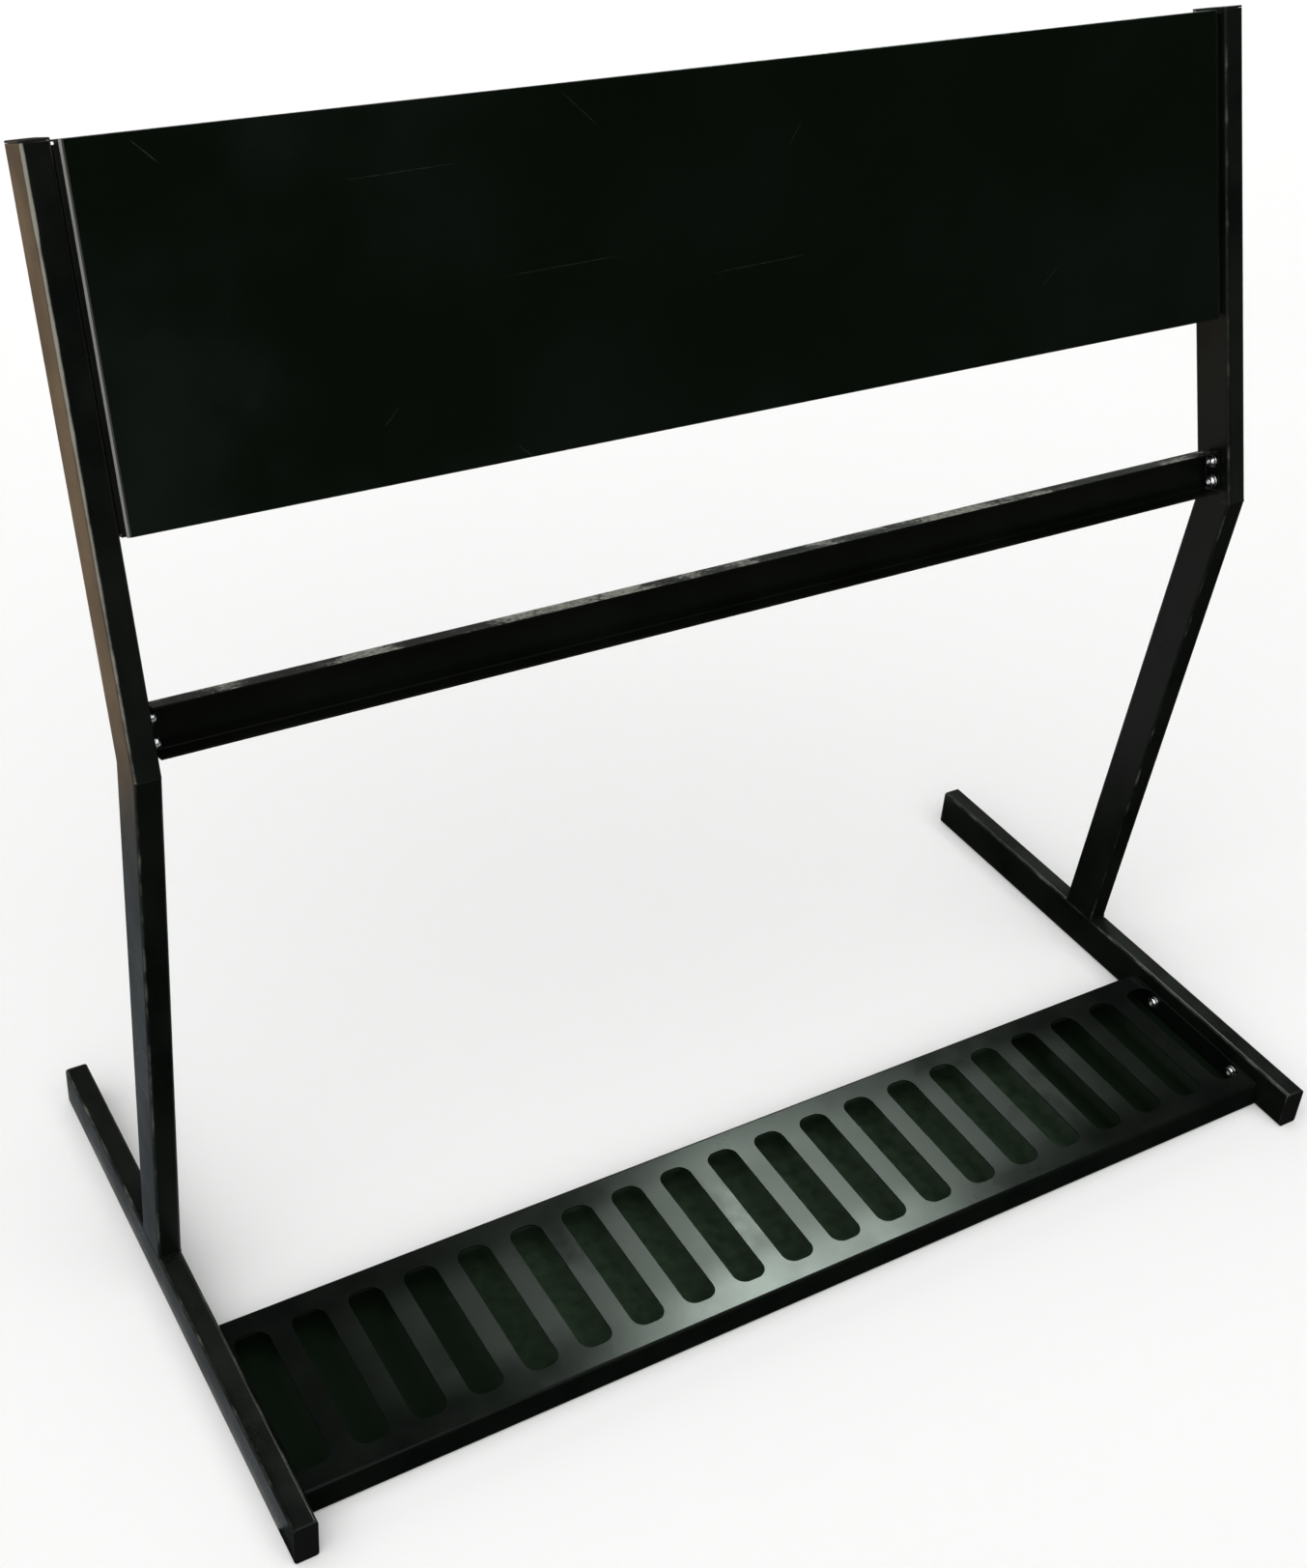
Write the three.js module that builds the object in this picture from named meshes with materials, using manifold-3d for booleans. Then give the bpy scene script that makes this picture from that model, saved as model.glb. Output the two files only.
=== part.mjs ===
// Racket display stand: two bent side frames of flat steel tube, a slotted floor tray between the feet,
// a cross bar that the handles lean on, and a plain header panel, all bolted together.
// Millimetres, +X to the right, -Y to the front, +Z up, origin on the floor in the middle of the footprint.

import * as THREE from "three";
import { mergeVertices } from "three/addons/utils/BufferGeometryUtils.js";
import Module from "manifold-3d";

const wasm = await Module();
wasm.setup();

// Overall size
const overallWidth = 1030;
const footLength = 540;

// Flat steel tube that feet, legs and posts are cut from
const tubeWidth = 20;
const tubeDepth = 40;
const tubeWall = 1.5;
const tubeCorner = 3;

// Side frame, measured on the front edge of the leg and the post
const legFootY = 19;
const kneeHeight = 555;
const legLean = THREE.MathUtils.degToRad(5);
const postLean = THREE.MathUtils.degToRad(18);
const postLength = 425;

// Gaps: between welded or bolted faces, and all round a pin in its hole
const seatGap = 0.3;
const pinGap = 0.3;

// Plastic plugs in the open tube ends
const capFlange = 2;
const capChamfer = 0.6;
const capPlugDepth = 12;
const capWall = 1.5;
const capFinHeight = 0.7;
const capFinThickness = 1.2;
const capFinCount = 2;

// Folded sheet metal
const traySheet = 1.5;
const barSheet = 1.5;
const headerSheet = 1.2;
const bendRadius = 1.5;
const bendRelief = 2;

// Slotted floor tray
const trayTop = 28;
const trayFrontInset = 34;
const trayDepth = 180;
const trayLip = 25;
const trayEndFlange = 24;
const slotPitch = 50;
const slotWidth = 30;
const slotLength = 140;
const slotCorner = 11;
const trayBoltInset = 34;
const trayBoltDrop = 12;

// Cross bar, an open channel that faces forward
const barRise = 29;
const barHeight = 38;
const barDepth = 20;
const barSetback = 8;
const barTabHeight = 33;
const barTabDepth = 18;
const barBoltPitch = 18.5;

// Header panel: folded backing sheet with a thin board stuck on its front
const headerTopInset = 2;
const headerHeight = 256;
const headerSetback = 3;
const headerReturn = 12;
const headerTab = 30;
const headerBoltInset = 40;
const boardThickness = 3;
const boardInset = 5.5;
const boardBevel = 2.5;
const tapeThickness = 0.3;

// M6 fasteners
const boltRadius = 3;
const boltLength = 14;
const boltTip = 0.6;
const headRadius = 5.25;
const headHeight = 3.3;
const headEdge = 0.8;
const headFlatRadius = 2.9;
const socketAcross = 4;
const socketDepth = 2;
const holeRadius = 3.4;
const washerRadius = 6;
const washerThickness = 1.2;
const rivetNutRadius = 4.5;
const rivetNutLength = 13;
const rivetNutBulge = 5.8;
const rivetNutBulgeLength = 4;

// Smoothness of curves, and how far a cutter runs past what it cuts
const tubeSegments = 2;
const plugSegments = 1;
const bendSegments = 2;
const slotSegments = 3;
const roundSegments = 12;
const domeSteps = 2;
const overrun = 1;

const paint = new THREE.MeshStandardMaterial({ color: 0x151917, roughness: 0.38, metalness: 0.3 });
const trayPaint = new THREE.MeshStandardMaterial({ color: 0x1b1f1d, roughness: 0.3, metalness: 0.3 });
const boardFinish = new THREE.MeshStandardMaterial({ color: 0x0d0f0e, roughness: 0.35, metalness: 0 });
const plastic = new THREE.MeshStandardMaterial({ color: 0x101211, roughness: 0.6, metalness: 0 });
const zinc = new THREE.MeshStandardMaterial({ color: 0xb9bcbe, roughness: 0.3, metalness: 0.9 });

// Values worked out from the driving dimensions
const clearWidth = overallWidth - 2 * tubeWidth;
const innerFaceX = clearWidth / 2;
const tubeCentreX = innerFaceX + tubeWidth / 2;
const spanLength = clearWidth - 2 * seatGap;
const kneeY = legFootY - (kneeHeight - tubeDepth) * Math.tan(legLean);
const mitreSlope = Math.tan((legLean + postLean) / 2);
const sides = [{ name: "left", sign: -1 }, { name: "right", sign: 1 }];

// A closed geometry as a manifold solid, and back
function toSolid(geometry) {
  const bare = geometry.clone();
  bare.deleteAttribute("normal");
  bare.deleteAttribute("uv");
  const merged = mergeVertices(bare);
  return new wasm.Manifold(new wasm.Mesh({
    numProp: 3,
    vertProperties: new Float32Array(merged.attributes.position.array),
    triVerts: new Uint32Array(merged.index.array),
  }));
}

function toGeometry(solid) {
  const mesh = solid.getMesh();
  const geometry = new THREE.BufferGeometry();
  geometry.setAttribute("position", new THREE.BufferAttribute(new Float32Array(mesh.vertProperties), 3));
  geometry.setIndex(new THREE.BufferAttribute(new Uint32Array(mesh.triVerts), 1));
  const faceted = geometry.toNonIndexed();
  faceted.computeVertexNormals();
  return faceted;
}

function joinAll(geometries) {
  return toGeometry(geometries.map(toSolid).reduce((whole, piece) => whole.add(piece)));
}

function cutAll(geometry, cutters) {
  return toGeometry(cutters.map(toSolid).reduce((rest, cutter) => rest.subtract(cutter), toSolid(geometry)));
}

// Rectangle with round corners, centred on a point, as the points of a THREE.Shape or a hole's path
function roundedOutline(path, centreX, centreY, width, height, radius) {
  const left = centreX - width / 2 + radius;
  const right = centreX + width / 2 - radius;
  const low = centreY - height / 2 + radius;
  const high = centreY + height / 2 - radius;
  path.moveTo(left, low - radius);
  path.absarc(right, low, radius, -Math.PI / 2, 0, false);
  path.absarc(right, high, radius, 0, Math.PI / 2, false);
  path.absarc(left, high, radius, Math.PI / 2, Math.PI, false);
  path.absarc(left, low, radius, Math.PI, 3 * Math.PI / 2, false);
  return path;
}

function extrude(shape, depth, curveSegments) {
  return new THREE.ExtrudeGeometry(shape, { depth, curveSegments, bevelEnabled: false });
}

// Section of the tube: its narrow side along X, its front face at y = 0
function tubeSection() {
  const middle = tubeDepth / 2;
  const section = roundedOutline(new THREE.Shape(), 0, middle, tubeWidth, tubeDepth, tubeCorner);
  const bore = roundedOutline(new THREE.Path(), 0, middle, tubeWidth - 2 * tubeWall,
    tubeDepth - 2 * tubeWall, tubeCorner - tubeWall);
  section.holes.push(bore);
  return section;
}

// Tube along Z whose ends are cut by slanted planes: lowEnd and highEnd give z for a point's y
function tubeRun(lowEnd, highEnd) {
  const run = extrude(tubeSection(), 1, tubeSegments);
  const points = run.attributes.position;
  for (let i = 0; i < points.count; i += 1) {
    const end = points.getZ(i) === 0 ? lowEnd : highEnd;
    points.setZ(i, end(points.getY(i)));
  }
  return run;
}

// Cylinder along X that cuts a round hole through one wall
function holeCutter(radius, x, y, z, depth) {
  const cutter = new THREE.CylinderGeometry(radius, radius, depth, roundSegments);
  cutter.rotateZ(Math.PI / 2);
  cutter.translate(x, y, z);
  return cutter;
}

// Holes for rivet nuts in the tube wall that faces the middle of the stand
function nutHoles(side, places) {
  const wallX = -side.sign * (tubeWidth - tubeWall) / 2;
  return places.map(([y, z]) => holeCutter(rivetNutRadius + pinGap, wallX, y, z, tubeWall + 2 * overrun));
}

// Places of the bolts, in the frame of the piece that carries their nuts
const barBoltDepth = barSetback + barDepth / 2;
const barBoltPlaces = [barRise + barBoltPitch / 2, barRise - barBoltPitch / 2].map((z) => [barBoltDepth, z]);
const headerTopZ = postLength - headerTopInset;
const headerLowZ = headerTopZ - headerHeight;
const headerBoltPlaces = [headerTopZ - headerBoltInset, headerLowZ + headerBoltInset]
  .map((z) => [tubeDepth / 2, z]);
const trayFrontY = trayFrontInset - footLength / 2;
const trayRearY = trayFrontY + trayDepth;
const trayBoltZ = trayTop - trayBoltDrop;
const trayBoltPlaces = [trayFrontY + trayBoltInset, trayRearY - trayBoltInset];

// Side frames: foot flat on the floor, leg leaning forward, post leaning back, welded end to end
function footGeometry(side) {
  const halfTube = footLength / 2 - capFlange;
  const run = tubeRun(() => -halfTube, () => halfTube);
  run.rotateX(-Math.PI / 2);
  run.translate(0, 0, tubeDepth);
  return cutAll(run, nutHoles(side, trayBoltPlaces.map((y) => [y, trayBoltZ])));
}

function legGeometry() {
  const floorEnd = (y) => (tubeDepth + seatGap - kneeHeight - y * Math.sin(legLean)) / Math.cos(legLean);
  const kneeEnd = (y) => -y * mitreSlope - seatGap / 2;
  return tubeRun(floorEnd, kneeEnd);
}

function postGeometry(side) {
  const kneeEnd = (y) => y * mitreSlope + seatGap / 2;
  const run = tubeRun(kneeEnd, () => postLength - capFlange);
  return cutAll(run, nutHoles(side, [...barBoltPlaces, ...headerBoltPlaces]));
}

// Plug for an open tube end: a chamfered flange over the tube's rim, a hollow plug and thin gripping fins.
// Its seat on the rim is at z = 0 and the plug goes down from there.
function capGeometry() {
  const middle = tubeDepth / 2;
  const fit = 2 * (tubeWall + pinGap);
  const plugWidth = tubeWidth - fit - 2 * capFinHeight;
  const plugHeight = tubeDepth - fit - 2 * capFinHeight;
  const corner = tubeCorner - tubeWall;
  const flange = new THREE.ExtrudeGeometry(
    roundedOutline(new THREE.Shape(), 0, middle, tubeWidth, tubeDepth, tubeCorner),
    {
      depth: capFlange - 2 * capChamfer - seatGap, curveSegments: tubeSegments, bevelSegments: 1,
      bevelThickness: capChamfer, bevelSize: capChamfer, bevelOffset: -capChamfer,
    },
  );
  flange.translate(0, 0, capChamfer + seatGap);
  const plug = extrude(roundedOutline(new THREE.Shape(), 0, middle, plugWidth, plugHeight, corner),
    capPlugDepth + seatGap + capChamfer, plugSegments);
  plug.translate(0, 0, -capPlugDepth);
  const pieces = [flange, plug];
  for (let i = 0; i < capFinCount; i += 1) {
    const fin = extrude(roundedOutline(new THREE.Shape(), 0, middle, tubeWidth - fit, tubeDepth - fit, corner),
      capFinThickness, plugSegments);
    fin.translate(0, 0, -(i + 1) * capPlugDepth / (capFinCount + 1) - capFinThickness / 2);
    pieces.push(fin);
  }
  const pocket = extrude(
    roundedOutline(new THREE.Shape(), 0, middle, plugWidth - 2 * capWall, plugHeight - 2 * capWall, corner),
    capPlugDepth + overrun, plugSegments);
  pocket.translate(0, 0, -capPlugDepth - overrun);
  return cutAll(joinAll(pieces), [pocket]);
}

// Outline of a folded strip, from the corners of its outer face. The sheet lies to the left of the
// line that joins them, and each fold turns left by a right angle.
function foldedStrip(corners, thickness) {
  const outerRadius = bendRadius + thickness;
  const legs = corners.slice(1).map((corner, i) => corner.clone().sub(corners[i]).normalize());
  const inward = legs.map((leg) => new THREE.Vector2(-leg.y, leg.x));
  const bends = corners.slice(1, -1).map((corner, i) => ({
    centre: corner.clone().addScaledVector(legs[i], -outerRadius).addScaledVector(inward[i], outerRadius),
    start: Math.atan2(-inward[i].y, -inward[i].x),
  }));
  const strip = new THREE.Shape();
  strip.moveTo(corners[0].x, corners[0].y);
  bends.forEach(({ centre, start }) => {
    strip.absarc(centre.x, centre.y, outerRadius, start, start + Math.PI / 2, false);
  });
  const last = corners[corners.length - 1];
  const lastInner = last.clone().addScaledVector(inward[inward.length - 1], thickness);
  strip.lineTo(last.x, last.y);
  strip.lineTo(lastInner.x, lastInner.y);
  bends.reverse().forEach(({ centre, start }) => {
    strip.absarc(centre.x, centre.y, bendRadius, start + Math.PI / 2, start, true);
  });
  const firstInner = corners[0].clone().addScaledVector(inward[0], thickness);
  strip.lineTo(firstInner.x, firstInner.y);
  return strip;
}

// Sheet folded down on all four sides, with open corners. Its outer face is z = 0, its length runs
// along X and its folds go down. The end folds are narrower, so that they clear the long ones.
function foldedPan({ length, width, thickness, sideFold, endFold, endFoldWidth }) {
  const flatLength = length - 2 * (bendRadius + thickness);
  const across = width / 2;
  const channel = extrude(foldedStrip([
    new THREE.Vector2(across, -sideFold), new THREE.Vector2(across, 0),
    new THREE.Vector2(-across, 0), new THREE.Vector2(-across, -sideFold),
  ], thickness), flatLength, bendSegments);
  channel.translate(0, 0, -flatLength / 2);
  channel.rotateX(Math.PI / 2);
  channel.rotateZ(Math.PI / 2);
  const end = extrude(foldedStrip([
    new THREE.Vector2(length / 2, -endFold), new THREE.Vector2(length / 2, 0),
    new THREE.Vector2(flatLength / 2 - overrun, 0),
  ], thickness), endFoldWidth, bendSegments);
  end.translate(0, 0, -endFoldWidth / 2);
  end.rotateX(Math.PI / 2);
  const otherEnd = end.clone().rotateZ(Math.PI);
  return joinAll([channel, end, otherEnd]);
}

// Holes for the bolts through both end folds of a pan
function panBoltHoles(length, thickness, places) {
  const faceX = (length - thickness) / 2;
  return sides.flatMap(({ sign }) => places.map(([y, z]) => (
    holeCutter(holeRadius, sign * faceX, y, z, thickness + 2 * overrun))));
}

function trayGeometry() {
  const pan = foldedPan({
    length: spanLength,
    width: trayDepth,
    thickness: traySheet,
    sideFold: trayLip,
    endFold: trayEndFlange,
    endFoldWidth: trayDepth - 2 * (bendRadius + traySheet + bendRelief),
  });
  const flatLength = spanLength - 2 * (bendRadius + traySheet);
  const slotCount = Math.floor((flatLength - slotWidth) / slotPitch) + 1;
  const slots = Array.from({ length: slotCount }, (unused, i) => {
    const x = (i - (slotCount - 1) / 2) * slotPitch;
    const slot = extrude(roundedOutline(new THREE.Shape(), x, 0, slotWidth, slotLength, slotCorner),
      traySheet + 2 * overrun, slotSegments);
    return slot.translate(0, 0, -traySheet - overrun);
  });
  const boltY = trayDepth / 2 - trayBoltInset;
  const holes = panBoltHoles(spanLength, traySheet, [[boltY, -trayBoltDrop], [-boltY, -trayBoltDrop]]);
  return cutAll(pan, [...slots, ...holes]);
}

// The bar's web is its rear wall, so the pan is turned to open forward
function crossbarGeometry() {
  const pan = foldedPan({
    length: spanLength,
    width: barHeight,
    thickness: barSheet,
    sideFold: barDepth,
    endFold: barTabDepth,
    endFoldWidth: barTabHeight,
  });
  const fromWeb = barBoltDepth - barSetback - barDepth;
  const holes = panBoltHoles(spanLength, barSheet, [[barBoltPitch / 2, fromWeb], [-barBoltPitch / 2, fromWeb]]);
  return cutAll(pan, holes).rotateX(-Math.PI / 2);
}

// The header's face is its front wall, so the pan is turned to open backward
const headerSheetY = headerSetback + boardThickness + tapeThickness;

function headerBackGeometry() {
  const pan = foldedPan({
    length: spanLength,
    width: headerHeight,
    thickness: headerSheet,
    sideFold: headerReturn,
    endFold: headerTab,
    endFoldWidth: headerHeight - 2 * (bendRadius + headerSheet + bendRelief),
  });
  const boltZ = headerHeight / 2 - headerBoltInset;
  const fromFace = headerSheetY - tubeDepth / 2;
  const holes = panBoltHoles(spanLength, headerSheet, [[boltZ, fromFace], [-boltZ, fromFace]]);
  return cutAll(pan, holes).rotateX(Math.PI / 2);
}

// Board with a bevel down its left and right edges, its front face at y = 0
function headerBoardGeometry() {
  const half = innerFaceX - boardInset;
  const outline = new THREE.Shape([
    new THREE.Vector2(-half + boardBevel, 0),
    new THREE.Vector2(half - boardBevel, 0),
    new THREE.Vector2(half, boardBevel),
    new THREE.Vector2(half, boardThickness),
    new THREE.Vector2(-half, boardThickness),
    new THREE.Vector2(-half, boardBevel),
  ]);
  return extrude(outline, headerHeight, 1).translate(0, 0, -headerHeight / 2);
}

// Fasteners: each is a turned piece whose axis is Y, with its seat at y = 0
function boltGeometry() {
  const profile = [
    new THREE.Vector2(0, -boltLength),
    new THREE.Vector2(boltRadius - boltTip, -boltLength),
    new THREE.Vector2(boltRadius, -boltLength + boltTip),
    new THREE.Vector2(boltRadius, 0),
    new THREE.Vector2(headRadius, 0),
  ];
  for (let i = 0; i <= domeSteps; i += 1) {
    const turn = (i / domeSteps) * (Math.PI / 2);
    profile.push(new THREE.Vector2(headFlatRadius + (headRadius - headFlatRadius) * Math.cos(turn),
      headEdge + (headHeight - headEdge) * Math.sin(turn)));
  }
  profile.push(new THREE.Vector2(0, headHeight));
  const socketRadius = socketAcross / Math.sqrt(3);
  const socket = new THREE.CylinderGeometry(socketRadius, socketRadius, socketDepth + overrun, 6);
  socket.translate(0, headHeight + (overrun - socketDepth) / 2, 0);
  return cutAll(new THREE.LatheGeometry(profile, roundSegments), [socket]);
}

function ringGeometry(innerRadius, outline) {
  const closed = [
    ...outline.map(([radius, y]) => new THREE.Vector2(radius, y)),
    new THREE.Vector2(innerRadius, outline[outline.length - 1][1]),
    new THREE.Vector2(innerRadius, outline[0][1]),
    new THREE.Vector2(outline[0][0], outline[0][1]),
  ];
  return new THREE.LatheGeometry(closed, roundSegments);
}

function washerGeometry() {
  return ringGeometry(holeRadius, [[washerRadius, 0], [washerRadius, washerThickness]]);
}

// The nut's face is flush with the tube's surface, and its bulge grips the wall from inside
function rivetNutGeometry() {
  const bulgeStart = -tubeWall - seatGap;
  const bulgeEnd = bulgeStart - rivetNutBulgeLength;
  return ringGeometry(boltRadius + pinGap, [
    [rivetNutRadius, -rivetNutLength],
    [rivetNutRadius, bulgeEnd],
    [rivetNutBulge, (bulgeStart + bulgeEnd) / 2],
    [rivetNutRadius, bulgeStart],
    [rivetNutRadius, 0],
  ]);
}

function mesh(name, geometry, material, x = 0, y = 0, z = 0) {
  const piece = new THREE.Mesh(geometry, material);
  piece.name = name;
  piece.position.set(x, y, z);
  return piece;
}

const stand = new THREE.Group();

// Frame of the posts and of all that they carry: origin at the front of the knee, +Z up the post
const postFrame = new THREE.Group();
postFrame.position.set(0, kneeY, kneeHeight);
postFrame.rotation.x = -postLean;

const legFrame = new THREE.Group();
legFrame.position.copy(postFrame.position);
legFrame.rotation.x = legLean;

stand.add(postFrame, legFrame);

// One bolted joint: nut in the tube, washer and bolt on the inner side of the sheet that it holds
function addFastener(frame, side, name, sheet, y, z) {
  const joint = new THREE.Group();
  joint.position.set(side.sign * innerFaceX, y, z);
  joint.rotation.z = side.sign * Math.PI / 2;
  const washerSeat = seatGap + sheet + seatGap;
  const headSeat = washerSeat + washerThickness + seatGap;
  joint.add(
    mesh(`${side.name}_${name}_rivet_nut`, rivetNutGeometry(), zinc),
    mesh(`${side.name}_${name}_washer`, washerGeometry(), zinc, 0, washerSeat),
    mesh(`${side.name}_${name}_bolt`, boltGeometry(), zinc, 0, headSeat),
  );
  frame.add(joint);
}

for (const side of sides) {
  const x = side.sign * tubeCentreX;
  stand.add(mesh(`${side.name}_foot`, footGeometry(side), paint, x));
  legFrame.add(mesh(`${side.name}_leg`, legGeometry(), paint, x));
  postFrame.add(mesh(`${side.name}_post`, postGeometry(side), paint, x));
  postFrame.add(mesh(`${side.name}_post_cap`, capGeometry(), plastic, x, 0, postLength - capFlange));

  const rim = footLength / 2 - capFlange;
  const frontCap = mesh(`${side.name}_foot_front_cap`, capGeometry(), plastic, x, -rim, 0);
  frontCap.rotation.x = Math.PI / 2;
  const rearCap = mesh(`${side.name}_foot_rear_cap`, capGeometry(), plastic, x, rim, tubeDepth);
  rearCap.rotation.x = -Math.PI / 2;
  stand.add(frontCap, rearCap);

  addFastener(stand, side, "tray_front", traySheet, trayBoltPlaces[0], trayBoltZ);
  addFastener(stand, side, "tray_rear", traySheet, trayBoltPlaces[1], trayBoltZ);
  addFastener(postFrame, side, "bar_upper", barSheet, ...barBoltPlaces[0]);
  addFastener(postFrame, side, "bar_lower", barSheet, ...barBoltPlaces[1]);
  addFastener(postFrame, side, "header_upper", headerSheet, ...headerBoltPlaces[0]);
  addFastener(postFrame, side, "header_lower", headerSheet, ...headerBoltPlaces[1]);
}

const headerMiddleZ = (headerTopZ + headerLowZ) / 2;
stand.add(mesh("base_tray", trayGeometry(), trayPaint, 0, trayRearY - trayDepth / 2, trayTop));
postFrame.add(
  mesh("crossbar", crossbarGeometry(), paint, 0, barSetback + barDepth, barRise),
  mesh("header_back", headerBackGeometry(), paint, 0, headerSheetY, headerMiddleZ),
  mesh("header_board", headerBoardGeometry(), boardFinish, 0, headerSetback, headerMiddleZ),
);

export default stand;
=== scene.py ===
import math

import bmesh
import bpy
from mathutils import Matrix, Vector


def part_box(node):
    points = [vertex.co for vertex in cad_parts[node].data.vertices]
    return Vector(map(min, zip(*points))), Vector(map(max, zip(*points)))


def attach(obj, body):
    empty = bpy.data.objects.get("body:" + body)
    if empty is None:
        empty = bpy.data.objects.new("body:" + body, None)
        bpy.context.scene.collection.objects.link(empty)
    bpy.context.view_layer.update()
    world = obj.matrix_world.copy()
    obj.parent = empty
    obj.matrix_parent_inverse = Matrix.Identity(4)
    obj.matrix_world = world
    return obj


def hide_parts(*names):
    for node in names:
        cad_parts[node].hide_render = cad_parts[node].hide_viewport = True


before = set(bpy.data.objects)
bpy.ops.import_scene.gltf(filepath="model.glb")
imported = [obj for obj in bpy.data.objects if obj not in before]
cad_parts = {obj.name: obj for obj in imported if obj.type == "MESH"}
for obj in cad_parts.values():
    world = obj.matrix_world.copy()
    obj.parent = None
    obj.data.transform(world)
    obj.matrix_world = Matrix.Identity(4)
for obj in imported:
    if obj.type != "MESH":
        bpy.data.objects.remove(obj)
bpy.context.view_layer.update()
mm = 0.001

# Camera: it looks down on the stand from the front left, from 1.4 m up, as in the photograph. The
# photograph is cropped a little off the lens axis, which is what the two shifts give back.
photo_height = 1623
focal_px = 2161.04
axis_right_px, axis_up_px = -18.78, 81.86
sensor_size = 36.0
eye = Vector((-844.88, -1163.66, 1404.25)) * mm
yaw, pitch, roll = math.radians(32.582), math.radians(33.512), math.radians(4.403)

ahead = Vector((math.sin(yaw) * math.cos(pitch), math.cos(yaw) * math.cos(pitch), -math.sin(pitch)))
level_right = Vector((math.cos(yaw), -math.sin(yaw), 0))
level_up = level_right.cross(ahead)
right = math.cos(roll) * level_right + math.sin(roll) * level_up
up = math.cos(roll) * level_up - math.sin(roll) * level_right

camera_data = bpy.data.cameras.new("camera")
camera_data.sensor_fit = "AUTO"
camera_data.sensor_width = sensor_size
camera_data.lens = focal_px / photo_height * sensor_size
camera_data.shift_x = -axis_right_px / photo_height
camera_data.shift_y = -axis_up_px / photo_height
camera_data.clip_end = 60
camera = bpy.data.objects.new("camera", camera_data)
camera.matrix_world = Matrix.Translation(eye) @ Matrix((right, up, -ahead)).transposed().to_4x4()
scene = bpy.context.scene
scene.collection.objects.link(camera)
scene.camera = camera
scene.view_settings.view_transform = "Standard"


# Studio: a matt pale floor that curves up into a wall far behind the stand, lit by a wide soft overhead
# sun. A soft box high at the back right shows in the tray, and a tall one on the left in the edges. Under
# the tray lies a dark green-grey card of painted shade, whose painted shade deepens to near-black at both
# ends.
floor_reach = 16.0
sweep_start = 5.0
sweep_radius = 1.5
sweep_height = 6.0
sweep_steps = 12
floor_tone = (0.90, 0.90, 0.895, 1)
floor_tone_low = (0.87, 0.87, 0.865, 1)
sharp_angle = math.radians(35)
ground_height = 0.5 * mm
ground_front_inset = 1 * mm
ground_rear_reach = 4 * mm
ground_side_reach = 4 * mm
# Painted shade: the card under the tray is dark green-grey, and the fades darken it to near-black towards
# both ends.
ground_shade_fades = ((-0.34, -0.22), (0.345, 0.300))
ground_shade_tone = (0.028, 0.048, 0.028, 1)
ground_shade_tone_low = (0.0035, 0.0075, 0.0035, 1)
room_tone = (0.98, 1.0, 0.98, 1)
room_strength = 0.07


def node(tree, kind, inputs=None, **settings):
    """A new shader node: settings are its properties, inputs its sockets' values or links."""
    made = tree.nodes.new(kind)
    for name, value in settings.items():
        setattr(made, name, value)
    for name, value in (inputs or {}).items():
        if isinstance(value, bpy.types.NodeSocket):
            tree.links.new(value, made.inputs[name])
        else:
            made.inputs[name].default_value = value
    return made


def math_node(tree, operation, a, b=0.0, c=0.0):
    """One sum: the output socket of a Math node."""
    return node(tree, "ShaderNodeMath", {0: a, 1: b, 2: c}, operation=operation).outputs[0]


def product(tree, first, *others):
    """Socket with the product of all its factors."""
    for other in others:
        first = math_node(tree, "MULTIPLY", first, other)
    return first


def ramp(tree, value, zero_at, one_at):
    """Socket that goes smoothly from 0 to 1 as value goes from zero_at to one_at, and stays level beyond."""
    made = node(tree, "ShaderNodeMapRange", {"Value": value, "From Min": zero_at, "From Max": one_at},
                interpolation_type="SMOOTHSTEP")
    return made.outputs["Result"]


def mix_colour(tree, share, low, high):
    """Colour socket that goes from low to high as share goes from 0 to 1."""
    return node(tree, "ShaderNodeMix", {0: share, 6: low, 7: high}, data_type="RGBA").outputs[2]


def object_place(tree):
    """Socket with the point's place on the object, in metres."""
    return node(tree, "ShaderNodeTexCoord").outputs["Object"]


def parts_of(tree, vector):
    """Sockets X, Y and Z of a vector."""
    return node(tree, "ShaderNodeSeparateXYZ", {"Vector": vector}).outputs


def new_material(name):
    """A material without nodes, and its tree."""
    material = bpy.data.materials.new(name)
    material.use_nodes = True
    material.node_tree.nodes.clear()
    return material, material.node_tree


def surface(tree, sockets, relief=None, strength=0.0, depth=0.0):
    """Ends a material in its shader. relief is the height of the bump, if it has one."""
    if relief is not None:
        bump = node(tree, "ShaderNodeBump", {"Strength": strength, "Distance": depth, "Height": relief})
        sockets["Normal"] = bump.outputs[0]
    shader = node(tree, "ShaderNodeBsdfPrincipled", sockets)
    node(tree, "ShaderNodeOutputMaterial", {"Surface": shader.outputs[0]})


def matt_material(name, dark, light, scale, fades=()):
    """Matt cloudy material for the studio. Each of fades gives x where it is dark and x where it is light,
    and darkens it there as a painted shade.
    """
    material, tree = new_material(name)
    place = object_place(tree)
    share = node(tree, "ShaderNodeTexNoise", {"Vector": place, "Scale": scale, "Detail": 3.0}).outputs["Fac"]
    across = parts_of(tree, place)["X"]
    for dark_x, light_x in fades:
        share = product(tree, share, ramp(tree, across, dark_x, light_x))
    surface(tree, {"Base Color": mix_colour(tree, share, dark, light), "Roughness": 0.9,
                   "Specular IOR Level": 0.05})
    return material


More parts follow.
